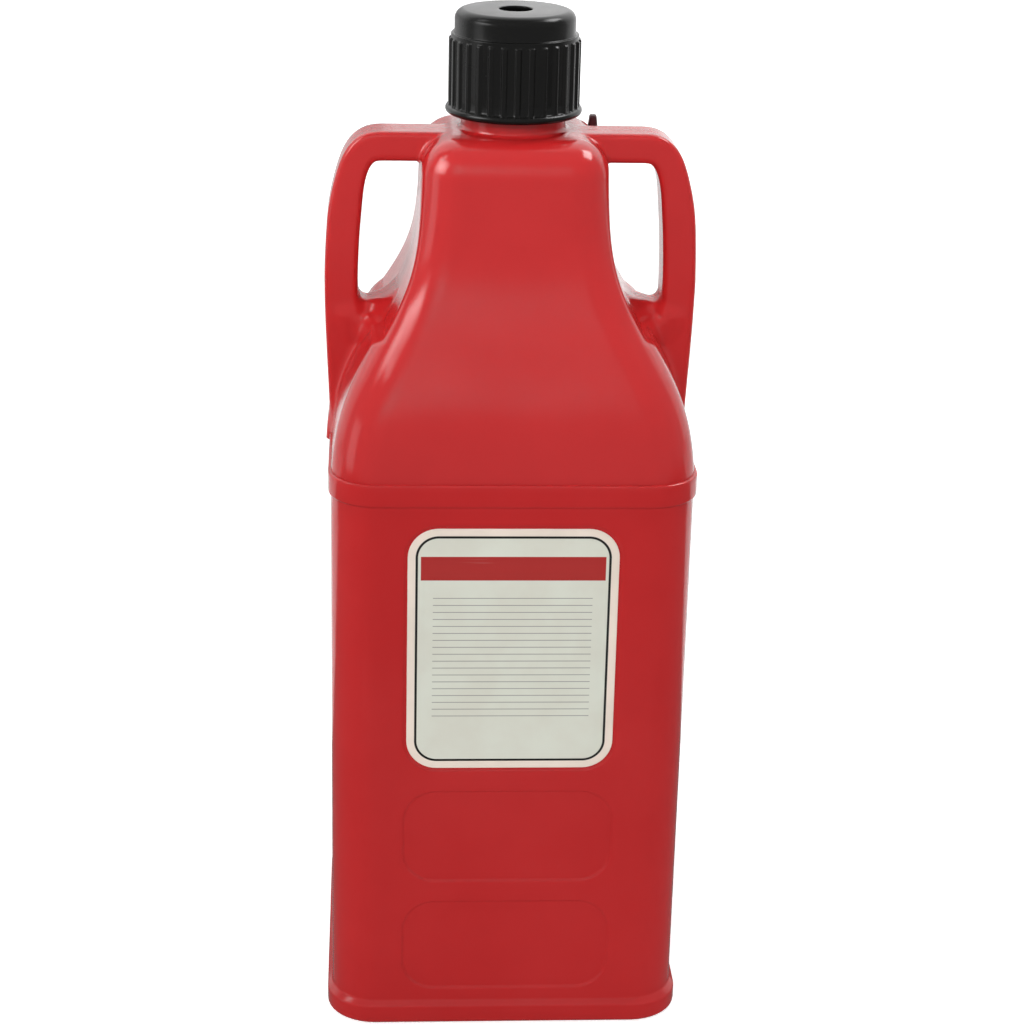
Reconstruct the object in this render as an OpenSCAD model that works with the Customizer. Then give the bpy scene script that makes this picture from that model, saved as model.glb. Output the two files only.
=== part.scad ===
// Tall square utility gas can: a hollow moulded tank with two loop handles, a ribbed screw cap over a
// threaded neck, a screwed vent behind the right handle and a blank label in the upper front panel.
// Millimetres, +Z up, front towards -Y. The origin is on the ground under the middle of the tank.

/* [Tank body] */
// Width and depth of the tank across the belt
tank_width = 305; // [290:1:320]
// How far the belt stands out from the plain body
belt_proud = 2.2; // [1:0.1:3.5]
// Height of the belt band
belt_height = 18; // [10:1:28]
// Bevel of the belt's upper edge
belt_edge = 1.5; // [0.5:0.1:2.5]
// Height of the belt's upper edge above the ground
belt_top = 504; // [490:1:560]
// How far the foot rim stands out from the plain body
foot_proud = 4.2; // [2:0.1:5]
// Height of the foot rim
foot_height = 22; // [16:1:30]
// Rounding of the foot's lower edge
foot_rounding = 5; // [3:0.5:10]
// Depth of the hollow under the base
base_recess = 5; // [2:0.5:10]
// Width of the rim that the tank stands on
stand_rim = 11; // [8:0.5:20]
// Height of the slope round the fuel space's floor
floor_rounding = 10; // [6:1:14]
// Corner radius of the body, seen from above
corner_radius = 40; // [36:1:50]
// Wall of the moulding
wall = 4; // [3:0.25:5]

/* [Shoulder] */
// Height from the belt's upper edge to the deck round the neck
shoulder_height = 261; // [250:1:285]
// Width that the shoulder narrows towards below its crown
waist_width = 151; // [146:1:160]
// Rounding between the shoulder's sides and the deck
crown_rounding = 29; // [22:1:30]
// Corner radius of the shoulder at its crown
crown_corner = 34; // [32:1:40]
// Height above the belt at which the flare is half done
flare_height = 104; // [90:1:120]
// Length over which the flare eases out of the belt
flare_softness = 29; // [24:1:34]
// Share of that ease left at the flare's upper end, less for a longer run-out
flare_skew = 0.7; // [0.6:0.05:1]
// Depth of the hand pockets in the two side faces
pocket_depth = 8; // [2:0.5:9]
// Height of the hand pockets' lower edge above the belt
pocket_floor = 99; // [90:1:106]
// Height over which a hand pocket runs out upwards
pocket_height = 60; // [40:1:80]

/* [Handles] */
// Width across the outsides of the two handles
handle_span = 313; // [308:1:320]
// Thickness of a handle's grip, seen from the front
grip_thickness = 28; // [25:0.5:30]
// Thickness of a handle's top bar, seen from the front
bar_thickness = 24.5; // [22:0.5:28]
// Depth of a handle, front to back
grip_depth = 40; // [32:1:46]
// Rounding of a handle's edges
grip_rounding = 5; // [4:0.5:8]
// Drop of the handles' top bars below the deck
bar_drop = 1.2; // [0.4:0.2:8]
// Straight length of a top bar beyond the shoulder
bar_length = 33; // [28:1:36]
// Pull of the bend along the top bar
bend_out = 20; // [17:1:26]
// Drop from the top bar to the bend's lower pull point
bend_drop = 23; // [20:1:36]
// How far the lower pull point leans in from the grip
bend_lean = 2; // [0:0.25:4]
// Height of the grips' widest point above the belt
grip_height = 136; // [125:1:150]
// How far the grips' lower ends lie inside the belt's side
grip_inset = 0.8; // [0.4:0.1:3]
// Height of the hand gaps' floor above the belt
gap_floor = 112; // [106:1:118]
// Rounding of a hand gap's lower outer corner
gap_corner = 9; // [6:0.5:10]
// Height over which the web below a hand gap climbs to the shoulder
web_climb = 16; // [12:1:24]
// How far the web lies behind the handle's faces
web_inset = 1.5; // [1:0.5:6]

/* [Front and back panels] */
// Width of the recessed panels
panel_width = 179; // [160:1:190]
// Depth of the recessed panels
panel_depth = 1.6; // [0.8:0.1:2]
// Corner radius of the recessed panels
panel_corner = 28; // [12:1:34]
// Height of the lowest panel's lower edge above the ground
panel_start = 34; // [32:1:40]
// Height of the two lower panels
low_panel_height = 86; // [76:1:90]
// Height of the label panel
label_panel_height = 222; // [205:1:226]
// Plain strip between two panels
panel_gap = 20; // [14:1:22]

/* [Label] */
// Plain margin between the label and its panel's edge
label_margin = 2.4; // [1:0.2:6]
// Thickness of the label
label_thickness = 0.4; // [0.2:0.1:0.6]

/* [Neck] */
// Outer diameter of the neck below its thread
neck_diameter = 87; // [82:1:90]
// Height of the neck's rim above the deck
neck_height = 83; // [77:1:87]
// Wall of the neck
neck_wall = 5; // [4:0.5:6]
// Rounding where the neck leaves the deck
neck_fillet = 3; // [1:0.5:4]
// Rise of the cap's thread in one turn
cap_pitch = 8; // [7:0.5:9]
// Depth of the neck's thread
cap_thread_depth = 2.4; // [2:0.1:2.8]
// Width of the cap's thread at its root
cap_thread_root = 4.2; // [3.6:0.1:4.6]
// Width of the cap's thread at its crest
cap_thread_crest = 1.8; // [1.2:0.1:2.4]
// Turns of thread on the neck and in the cap
cap_thread_turns = 2.5; // [2:0.25:3]
// Height of the plain neck between the deck and the thread
thread_start = 31; // [27:1:35]

/* [Cap and seal] */
// Gap between the deck and the cap's lower rim
cap_lift = 13; // [8:0.2:16]
// Clearance between the two threads
thread_clearance = 0.5; // [0.4:0.05:0.8]
// Wall of the cap's skirt
skirt_wall = 6.2; // [5:0.2:8]
// Height of the skirt's ribs above the skirt
rib_depth = 1.8; // [1:0.1:2.4]
// Number of ribs round the skirt
rib_count = 30; // [20:1:36]
// Width of a rib at its foot
rib_width = 6; // [4:0.2:7]
// Plain strip of skirt above the ribs
rib_gap = 3; // [1:0.5:6]
// How far the cap's lower rim stands out from the skirt
rim_proud = 4.1; // [2.6:0.1:5]
// Height of the cap's lower rim
rim_height = 6.5; // [4:0.5:10]
// Step from the skirt in to the dome
dome_inset = 2.8; // [2:0.1:3.2]
// Height of the dome above the skirt
dome_height = 19.5; // [16:0.5:22]
// Rounding of the dome's upper edge
dome_rounding = 8; // [4:0.5:8.5]
// Thickness of the cap's top
cap_top = 7.3; // [6:0.1:9]
// Diameter of the port in the cap's top
port_diameter = 27.4; // [20:0.2:32]
// Thickness of the gasket ring
gasket_thickness = 3; // [2:0.25:4]
// Thickness of the sealing disc
disc_thickness = 4.5; // [3:0.25:6]
// Gap round the gasket and disc inside the cap
seal_clearance = 0.6; // [0.4:0.1:1.5]

/* [Vent] */
// Distance of the vent inside the shoulder's right side
vent_inset = 8.2; // [6:0.2:9]
// Distance of the vent behind the tank's middle
vent_back = 40; // [38:0.5:44]
// Drop of the vent's seat below the deck
vent_drop = 12; // [10:0.5:14]
// Outer diameter of the vent plug's thread
vent_thread_diameter = 8; // [7:0.5:9]
// Rise of the vent plug's thread in one turn
vent_pitch = 2; // [1.75:0.25:2.5]
// Depth of the vent plug's thread
vent_thread_depth = 0.8; // [0.6:0.05:1]
// Width of the vent's thread at its root
vent_thread_root = 1; // [0.8:0.05:1.1]
// Width of the vent's thread at its crest
vent_thread_crest = 0.4; // [0.3:0.05:0.6]
// Turns of thread on the vent plug and in its bush
vent_thread_turns = 3; // [2:0.25:3.5]
// Clearance between the vent's two threads
vent_clearance = 0.35; // [0.3:0.05:0.5]
// Wall of the vent bush
bush_wall = 1.9; // [1.5:0.1:2.5]
// Length of the vent bush below its flange
bush_length = 12; // [9:0.5:14]
// Thickness of the bush's flange and of the plug's head
flange_thickness = 1.6; // [1.2:0.1:2]
// How far the bush's flange stands out from the bush
flange_proud = 1.3; // [0.8:0.1:1.6]
// Thickness of the vent washer
washer_thickness = 1.4; // [1:0.1:2]
// Height of the vent plug's thumb wing
wing_height = 10.6; // [8:0.2:13]
// Thickness of the thumb wing at its foot
wing_foot = 8.4; // [7:0.2:11]
// Thickness of the thumb wing at its top
wing_tip = 6; // [4:0.2:7]
// Wall of the boss round the vent's spot face
boss_wall = 3.4; // [2.5:0.1:4]
// Room between the plug's head and the spot face's side
vent_room = 1.6; // [1:0.2:2.5]
// Diameter of the air passage from the bush down into the tank
vent_passage = 4.4; // [3:0.2:6]
// Press fit gap between the bush and its boss
bush_gap = 0.03; // [0.02:0.01:0.08]
// How far the plug's stem ends above the bush's lower end
stem_gap = 1; // [0.5:0.25:3]

/* [Hidden] */

$fn = 96;
corner_steps = 6;
grip_corner_steps = 3;
foot_steps = 3;
flare_steps = 14;
crown_steps = 5;
bend_steps = 12;
gap_steps = 4;
round_steps = 6;
thread_steps = 36;
fade_steps = 3;
overlap = 1;
thread_sink = 0.6;
vent_sink = 0.25;

belt_half = tank_width / 2;
body_half = belt_half - belt_proud;
foot_half = body_half + foot_proud;
deck_z = belt_top + shoulder_height;
waist_half = waist_width / 2;
crown_z = deck_z - crown_rounding;
crown_half = flare(crown_z);
cavity_floor = base_recess + wall;
recess_half = foot_half - foot_rounding - stand_rim;

neck_r = neck_diameter / 2;
neck_bore_r = neck_r - neck_wall;
neck_crest_r = neck_r + cap_thread_depth;
rim_z = deck_z + neck_height;
thread_z = deck_z + thread_start;

cap_z = deck_z + cap_lift;
cap_bore_r = neck_crest_r + thread_clearance;
skirt_r = cap_bore_r + skirt_wall;
rim_r = skirt_r + rim_proud;
rim_lip = rim_height / 2;
dome_r = skirt_r - dome_inset;
gasket_top = rim_z + gasket_thickness;
disc_top = gasket_top + disc_thickness;
cap_end = disc_top + cap_top;
skirt_top = cap_end - dome_height;
seal_r = min(cap_bore_r - seal_clearance, neck_crest_r);

vent_right = crown_half - vent_inset;
seat_z = deck_z - vent_drop;
bush_z = seat_z - bush_length;
vent_crest_r = vent_thread_diameter / 2;
vent_root_r = vent_crest_r - vent_thread_depth;
vent_bore_r = vent_crest_r + vent_clearance;
vent_thread_z = seat_z - (bush_length + vent_thread_turns * vent_pitch) / 2;
bush_r = vent_bore_r + bush_wall;
flange_r = bush_r + flange_proud;
washer_r = bush_r + flange_proud / 2;
flange_top = seat_z + flange_thickness;
washer_top = flange_top + washer_thickness;
head_top = washer_top + flange_thickness;
spot_r = flange_r + vent_room;
boss_r = spot_r + boss_wall;
boss_taper = 2 * boss_r;
stem_z = bush_z + stem_gap;

label_z = panel_start + 2 * (low_panel_height + panel_gap);
bar_z = deck_z - bar_drop - bar_thickness / 2;
bar_end_x = crown_half + bar_length;
grip_x = (handle_span - grip_thickness) / 2;
grip_z = belt_top + grip_height;
grip_foot_x = belt_half - grip_inset - grip_thickness / 2;
grip_foot_z = belt_top - belt_height / 2;
gap_z = belt_top + gap_floor;

// Rounded steps between 0 and 1
function ease(t) = let (s = max(0, min(1, t))) s * s * (3 - 2 * s);

// Half width of the shoulder at height z: an S curve from the belt in to the waist
function flare(z) = let (middle = belt_top + flare_height - flare_softness * ln(pow(2, 1 / flare_skew) - 1))
    waist_half + (belt_half - waist_half) * pow(1 + exp((z - middle) / flare_softness), -flare_skew);

// Half width of the side faces, which are drawn in for the hands
function side(z) = flare(z) - pocket(z);

// How far the side faces are drawn in at height z to make room for a hand
function pocket(z) = let (up = z - belt_top - pocket_floor)
    pocket_depth * ease(up / pocket_depth + 0.5) * (1 - ease(up / pocket_height));

function shoulder_corner(z) = corner_radius
    + (crown_corner - corner_radius) * max(0, min(1, (z - belt_top) / (crown_z - belt_top)));

function arc(cx, cy, r, from, to, steps) =
    [for (i = [0:steps]) let (a = from + (to - from) * i / steps) [cx + r * cos(a), cy + r * sin(a)]];

// Corner points of a rectangle with rounded corners, counter-clockwise
function rounded(hx, hy, r, steps) = concat(
    arc(hx - r, hy - r, r, 0, 90, steps), arc(r - hx, hy - r, r, 90, 180, steps),
    arc(r - hx, r - hy, r, 180, 270, steps), arc(hx - r, r - hy, r, 270, 360, steps));

function level(hx, hy, r, z) = [for (p = rounded(hx, hy, r, corner_steps)) [p[0], p[1], z]];

function square_level(h, z, r = corner_radius) = level(h, h, r, z);

// Rings of the shoulder and its crown, drawn in by inset
function shoulder_rings(inset) = concat(
    [for (i = [0:flare_steps]) let (z = belt_top + (crown_z - belt_top) * i / flare_steps)
        level(side(z) - inset, flare(z) - inset, shoulder_corner(z) - inset, z)],
    [for (i = [1:crown_steps]) let (a = 90 * i / crown_steps, r = crown_rounding - inset,
            h = crown_half - crown_rounding + r * cos(a))
        level(h, h, crown_corner - crown_rounding + r * cos(a), crown_z + r * sin(a))]);

function tank_rings() = concat(
    [for (i = [0:foot_steps]) let (a = 90 * i / foot_steps)
        square_level(foot_half - foot_rounding * (1 - sin(a)), foot_rounding * (1 - cos(a)))],
    [square_level(foot_half, foot_height - foot_proud), square_level(body_half, foot_height),
     square_level(body_half, belt_top - belt_height - belt_proud),
     square_level(belt_half, belt_top - belt_height),
     square_level(belt_half, belt_top - belt_edge), square_level(belt_half - belt_edge, belt_top)],
    shoulder_rings(0));

function cavity_rings() = concat(
    [square_level(body_half - wall - floor_rounding, cavity_floor, corner_radius - wall),
     square_level(body_half - wall, cavity_floor + floor_rounding, corner_radius - wall),
     square_level(body_half - wall, belt_top - belt_height, corner_radius - wall)],
    shoulder_rings(wall));

// Skin through a list of rings, each counter-clockwise about the way the list runs
module skin(rings) {
    n = len(rings[0]);
    last = len(rings) - 1;
    polyhedron(
        [for (ring = rings) each ring],
        concat(
            [[for (i = [0:n - 1]) i], [for (i = [n - 1:-1:0]) last * n + i]],
            [for (k = [0:last - 1], i = [0:n - 1]) let (j = (i + 1) % n)
                each [[k * n + i, (k + 1) * n + i, (k + 1) * n + j],
                      [k * n + i, (k + 1) * n + j, k * n + j]]]),
        convexity = 8);
}

// Centre line of the right handle: out along the top bar, round the bend and down the grip
function bend(t) = pow(1 - t, 3) * [bar_end_x, bar_z] + 3 * t * pow(1 - t, 2) * [bar_end_x + bend_out, bar_z]
    + 3 * t * t * (1 - t) * [grip_x - bend_lean, bar_z - bend_drop] + pow(t, 3) * [grip_x, grip_z];

function handle_line() = concat(
    [[crown_half - crown_rounding, bar_z]],
    [for (i = [0:bend_steps]) bend(i / bend_steps)],
    [[(grip_x + grip_foot_x) / 2, (grip_z + belt_top) / 2], [grip_foot_x, grip_foot_z]]);

function unit(v) = v / norm(v);

// Rings of the handle's rounded section, which thickens round the bend, drawn in by inset
function handle_rings(inset) = let (line = handle_line(), last = len(line) - 1)
    [for (i = [0:last]) let (
            way = unit(line[min(i + 1, last)] - line[max(i - 1, 0)]),
            thick = bar_thickness + (grip_thickness - bar_thickness) * ease((i - 1) / bend_steps),
            section = rounded(thick / 2 - inset, grip_depth / 2 - inset, grip_rounding - inset / 2,
                              grip_corner_steps))
        [for (p = section) [line[i][0] + p[0] * way[1], p[1], line[i][1] - p[0] * way[0]]]];

// Web that closes the space between grip and shoulder below the hand gap
module handle_web() {
    inner_x = grip_x - grip_thickness / 2;
    climb_z = gap_z + web_climb;
    rotate([90, 0, 0])
        linear_extrude(grip_depth - 2 * web_inset, center = true)
            polygon(concat(
                [[belt_half - wall, grip_foot_z], [grip_foot_x, grip_foot_z], [grip_x, gap_z + gap_corner]],
                arc(inner_x - gap_corner, gap_z + gap_corner, gap_corner, 0, -60, gap_steps),
                [[side(climb_z) - wall / 2, climb_z], [side(gap_z) - wall, gap_z]]));
}

// Ridge of a thread that climbs counter-clockwise, from the wall it stands on to its crest radius
module ridge(wall_r, crest_r, root, crest, sunk, z, pitch, turns) {
    count = round(turns * thread_steps);
    out = sign(crest_r - wall_r);
    foot_r = wall_r - out * sunk;
    end_r = wall_r - out * sunk / 2;
    skin([for (i = [0:count]) let (
            a = 360 * i / thread_steps, mid = z + pitch * i / thread_steps,
            grown = min(1, min(i, count - i) / fade_steps), top_r = end_r + (crest_r - end_r) * grown,
            corners = [[foot_r, -root], [foot_r, root], [top_r, crest], [top_r, -crest]])
        [for (k = [0:3]) let (p = corners[out > 0 ? k : 3 - k])
            [p[0] * cos(a), p[0] * sin(a), mid + p[1] / 2]]]);
}

module plan_panel(height) {
    polygon(rounded(panel_width / 2, height / 2, panel_corner, corner_steps));
}

// The three shallow panels of one face, as cutters
module face_panels() {
    for (panel = [[panel_start, low_panel_height], [label_z - panel_gap - low_panel_height, low_panel_height],
                  [label_z, label_panel_height]])
        translate([0, -body_half + panel_depth, panel[0] + panel[1] / 2])
            rotate([90, 0, 0])
                linear_extrude(panel_depth + belt_proud)
                    plan_panel(panel[1]);
}

module each_side() {
    for (side = [0, 1]) mirror([side, 0, 0]) children();
}

module neck() {
    rotate_extrude()
        polygon([[neck_bore_r, deck_z - wall], [neck_r + neck_fillet, deck_z - wall],
                 [neck_r + neck_fillet, deck_z], [neck_r, deck_z + neck_fillet], [neck_r, rim_z],
                 [neck_bore_r, rim_z]]);
    ridge(neck_r, neck_crest_r, cap_thread_root, cap_thread_crest, thread_sink, thread_z, cap_pitch,
          cap_thread_turns);
}

module vent_boss() {
    translate([vent_right, vent_back, bush_z - wall]) {
        cylinder(r = boss_r, h = bush_length + wall);
        translate([0, 0, -boss_taper])
            cylinder(r1 = (vent_passage + boss_wall) / 2, r2 = boss_r, h = boss_taper);
    }
}

module tank_shell() color([0.74, 0.16, 0.17]) {
    difference() {
        union() {
            difference() {
                union() {
                    skin(tank_rings());
                    each_side() {
                        skin(handle_rings(0));
                        handle_web();
                    }
                }
                skin(cavity_rings());
                each_side() skin(handle_rings(wall));
                for (turn = [0, 180]) rotate(turn) face_panels();
                translate([0, 0, -overlap])
                    linear_extrude(base_recess + overlap)
                        polygon(rounded(recess_half, recess_half, corner_radius - stand_rim, corner_steps));
            }
            neck();
            vent_boss();
        }
        translate([0, 0, deck_z - wall - overlap])
            cylinder(r = neck_bore_r, h = neck_height + wall + 2 * overlap);
        translate([vent_right, vent_back, 0]) {
            translate([0, 0, seat_z]) cylinder(r = spot_r, h = vent_drop + overlap);
            translate([0, 0, bush_z]) cylinder(r = bush_r + bush_gap, h = bush_length + overlap);
            translate([0, 0, bush_z - wall - boss_taper - overlap])
                cylinder(r = vent_passage / 2, h = wall + boss_taper + 2 * overlap);
        }
    }
}

module screw_cap() color([0.1, 0.1, 0.1]) {
    difference() {
        union() {
            rotate_extrude()
                polygon(concat(
                    [[0, cap_z]], arc(rim_r - rim_lip, cap_z + rim_lip, rim_lip, -90, 30, round_steps),
                    [[skirt_r, cap_z + rim_height], [skirt_r, skirt_top], [dome_r, skirt_top]],
                    arc(dome_r - dome_rounding, cap_end - dome_rounding, dome_rounding, 0, 90, round_steps),
                    [[0, cap_end]]));
            for (i = [0:rib_count - 1])
                rotate(360 * (i + 0.5) / rib_count)
                    translate([0, 0, cap_z + rim_lip])
                        linear_extrude(skirt_top - rib_gap - cap_z - rim_lip)
                            polygon([[skirt_r - overlap, -rib_width / 2], [skirt_r, -rib_width / 2],
                                     [skirt_r + rib_depth, -rib_width / 4],
                                     [skirt_r + rib_depth, rib_width / 4], [skirt_r, rib_width / 2],
                                     [skirt_r - overlap, rib_width / 2]]);
        }
        translate([0, 0, cap_z - overlap]) cylinder(r = cap_bore_r, h = disc_top - cap_z + overlap);
        translate([0, 0, disc_top - overlap]) cylinder(d = port_diameter, h = cap_top + 2 * overlap);
    }
    ridge(cap_bore_r, neck_r + thread_clearance, cap_thread_root, cap_thread_crest, thread_sink,
          thread_z - cap_pitch / 2, cap_pitch, cap_thread_turns);
}

module cap_seal_disc() color([0.16, 0.16, 0.17])
    translate([0, 0, gasket_top]) cylinder(r = seal_r, h = disc_thickness);

module cap_gasket() color([0.05, 0.05, 0.05])
    translate([0, 0, rim_z])
        difference() {
            cylinder(r = seal_r, h = gasket_thickness);
            translate([0, 0, -overlap]) cylinder(r = neck_bore_r, h = gasket_thickness + 2 * overlap);
        }

module vent_bush() color([0.13, 0.13, 0.13])
    translate([vent_right, vent_back, 0]) {
        difference() {
            union() {
                translate([0, 0, bush_z]) cylinder(r = bush_r, h = bush_length + flange_thickness);
                translate([0, 0, seat_z]) cylinder(r = flange_r, h = flange_thickness);
            }
            translate([0, 0, bush_z - overlap])
                cylinder(r = vent_bore_r, h = bush_length + flange_thickness + 2 * overlap);
        }
        ridge(vent_bore_r, vent_root_r + vent_clearance, vent_thread_root, vent_thread_crest, vent_sink,
              vent_thread_z - vent_pitch / 2, vent_pitch, vent_thread_turns);
    }

module vent_washer() color([0.06, 0.06, 0.06])
    translate([vent_right, vent_back, flange_top])
        difference() {
            cylinder(r = washer_r, h = washer_thickness);
            translate([0, 0, -overlap]) cylinder(r = vent_bore_r, h = washer_thickness + 2 * overlap);
        }

module vent_plug() color([0.2, 0.1, 0.1])
    translate([vent_right, vent_back, 0]) {
        translate([0, 0, stem_z]) cylinder(r = vent_root_r, h = head_top - flange_thickness / 2 - stem_z);
        ridge(vent_root_r, vent_crest_r, vent_thread_root, vent_thread_crest, vent_sink, vent_thread_z,
              vent_pitch, vent_thread_turns);
        translate([0, 0, washer_top]) cylinder(r = flange_r, h = flange_thickness);
        intersection() {
            translate([0, 0, head_top - overlap / 2])
                rotate([90, 0, 0])
                    linear_extrude(2 * flange_r, center = true)
                        polygon([[-wing_foot / 2, 0], [wing_foot / 2, 0],
                                 [wing_tip / 2, wing_height + overlap / 2],
                                 [-wing_tip / 2, wing_height + overlap / 2]]);
            cylinder(r = washer_r, h = head_top + wing_height);
        }
    }

module front_label() color([0.88, 0.86, 0.8])
    translate([0, -body_half + panel_depth, label_z + label_panel_height / 2])
        rotate([90, 0, 0])
            linear_extrude(label_thickness)
                polygon(rounded(panel_width / 2 - label_margin, label_panel_height / 2 - label_margin,
                                panel_corner - label_margin, corner_steps));

tank_shell();
screw_cap();
cap_seal_disc();
cap_gasket();
vent_bush();
vent_washer();
vent_plug();
front_label();
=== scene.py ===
"""Gas can: a moulded red tank with loop handles, a ribbed black cap, a screwed vent and a blank label.

Shapes are worked out in millimetres as numpy arrays and put into meshes in metres, in the frame's own axes:
+Z up, the front with the label towards -Y, the ground at Z = 0.
"""
import logging
import math
from dataclasses import dataclass
from enum import Enum
from functools import cache
from typing import Sequence

import bpy
import numpy as np
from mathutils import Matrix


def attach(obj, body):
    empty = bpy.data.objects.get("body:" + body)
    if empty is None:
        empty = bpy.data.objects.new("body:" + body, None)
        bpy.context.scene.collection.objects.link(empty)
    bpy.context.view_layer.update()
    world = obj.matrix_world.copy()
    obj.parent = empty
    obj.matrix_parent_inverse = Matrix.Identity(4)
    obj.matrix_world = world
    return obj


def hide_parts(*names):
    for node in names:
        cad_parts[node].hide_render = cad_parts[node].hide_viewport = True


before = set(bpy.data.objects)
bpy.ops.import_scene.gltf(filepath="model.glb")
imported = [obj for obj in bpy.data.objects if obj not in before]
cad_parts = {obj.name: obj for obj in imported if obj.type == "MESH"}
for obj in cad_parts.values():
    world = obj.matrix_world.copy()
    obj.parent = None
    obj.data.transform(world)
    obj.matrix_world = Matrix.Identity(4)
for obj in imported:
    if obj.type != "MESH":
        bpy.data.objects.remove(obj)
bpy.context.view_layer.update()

import openvdb
from mathutils import Matrix, Vector

LOG = logging.getLogger("gas_can")
MM = 0.001
TURN = 2.0 * math.pi
WHITE = (1.0, 1.0, 1.0, 1.0)
NEAR = 0.01
VENT_AXIS = (69.7136, 40.0)
Array = np.ndarray
Shape = tuple[Array, Array]
Pair = tuple[float, float]
Place = tuple[float, float, float]
Colour = tuple[float, float, float, float]
Socket = bpy.types.NodeSocket
Sockets = bpy.types.bpy_prop_collection


class Body(Enum):
    """Bodies of the frame that the new pieces ride on."""

    TANK = "tank"
    CAP = "cap"
    VENT = "vent"


def linear(red: float, green: float, blue: float) -> Colour:
    """Turn screen values from 0 to 255 into linear light, by the sRGB curve.

    Args:
        red, green, blue: The colour as a screen shows it.
    Returns:
        The colour as a shader socket takes it, with full alpha.
    """
    share = np.array([red, green, blue]) / 255.0
    out = np.where(share <= 0.04045, share / 12.92, ((share + 0.055) / 1.055) ** 2.4)
    return (float(out[0]), float(out[1]), float(out[2]), 1.0)


def smooth(low: float, high: float, value: Array) -> Array:
    """Cubic step of a value, from 0 at low to 1 at high and level beyond both; low may be the larger."""
    share = np.clip((value - low) / (high - low), 0.0, 1.0)
    return share * share * (3.0 - 2.0 * share)


def arc(centre: Pair, radius: float, start: float, stop: float, count: int) -> Array:
    """Points of a circle's arc in a profile plane, from start to stop in degrees, both ends among them."""
    angle = np.radians(np.linspace(start, stop, count))
    return np.stack([centre[0] + radius * np.cos(angle), centre[1] + radius * np.sin(angle)], axis=1)


def upright(radius: float, start: float, stop: float, step: float) -> Array:
    """Points of a profile's upright run at one radius, evenly spaced and no further apart than step."""
    z = np.linspace(start, stop, max(1, math.ceil(abs(stop - start) / step)) + 1)
    return np.stack([np.full(len(z), radius), z], axis=1)


def rounded_box(x: Array, y: Array, half_x: Array, half_y: Array, radius: Array) -> Array:
    """Signed distance to a rectangle with round corners: under 0 inside, over 0 outside.

    Args:
        x, y: Where the distance is wanted.
        half_x, half_y: Half the rectangle's sides.
        radius: Its corner radius.
    Returns:
        The distance.
    """
    over_x = np.abs(x) - (half_x - radius)
    over_y = np.abs(y) - (half_y - radius)
    outside = np.hypot(np.maximum(over_x, 0.0), np.maximum(over_y, 0.0))
    return outside + np.minimum(np.maximum(over_x, over_y), 0.0) - radius


def round_both(first: Array, second: Array, radius: float) -> Array:
    """Distance to what two solids share, with the edge between them rounded off to a radius."""
    a, b = first + radius, second + radius
    return np.hypot(np.maximum(a, 0.0), np.maximum(b, 0.0)) + np.minimum(np.maximum(a, b), 0.0) - radius


def round_join(first: Array, second: Array, radius: Array) -> Array:
    """Distance to two solids joined, with a fillet of a radius in the corner between them."""
    a, b = np.maximum(radius - first, 0.0), np.maximum(radius - second, 0.0)
    return np.maximum(np.minimum(first, second), radius) - np.hypot(a, b)


def grid_faces(rows: int, columns: int) -> Array:
    """Four-sided faces of a grid whose points are stored row by row and whose last column joins the first.

    Args:
        rows, columns: The grid's size.
    Returns:
        One face a row, as four point numbers.
    """
    row = np.arange(rows - 1)[:, None] * columns
    column = np.arange(columns)[None, :]
    ahead = (column + 1) % columns
    corners = (row + column, row + ahead, row + columns + ahead, row + columns + column)
    return np.stack(corners, axis=-1).reshape(-1, 4)


def as_shape(rings: Array) -> Shape:
    """Points and four-sided faces of rings of points that are joined into one surface."""
    return rings.reshape(-1, 3), grid_faces(*rings.shape[:2])


def square_rings(sides: tuple[Array, Array], half: Array, radius: Array) -> Array:
    """Outlines of rectangles with round corners: core * (half - radius) + out * radius."""
    core, out = sides
    return core[None] * (half - radius[:, None])[:, None] + out[None] * radius[:, None, None]


def lifted(rings: Array, level: Array) -> Array:
    """Set flat rings at their heights."""
    return np.concatenate([rings, np.broadcast_to(level[:, None, None], rings.shape[:2] + (1,))], axis=2)


def weld(points: Array, faces: Array) -> tuple[Array, list[list[int]]]:
    """Merge points that lie together, so that poles and seams close.

    Args:
        points: Places in millimetres, one a row.
        faces: Four point numbers a row.
    Returns:
        The places that stay, and the faces of three or four corners.
    """
    digits = 4
    _, keep, name = np.unique(np.round(points, digits), axis=0, return_index=True, return_inverse=True)
    faces = name.reshape(-1)[faces]
    repeat = faces == np.roll(faces, -1, axis=1)
    four = faces[repeat.sum(axis=1) == 0]
    pinched = repeat.sum(axis=1) == 1
    three = faces[pinched][~repeat[pinched]].reshape(-1, 3)
    return points[keep], four.tolist() + three.tolist()


def link(name: str, data: bpy.types.ID) -> bpy.types.Object:
    """Make an object and put it in the scene.

    Args:
        name: Its name.
        data: Its mesh, lamp or camera.
    Returns:
        The object.
    """
    made = bpy.data.objects.new(name, data)
    bpy.context.scene.collection.objects.link(made)
    return made


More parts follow.
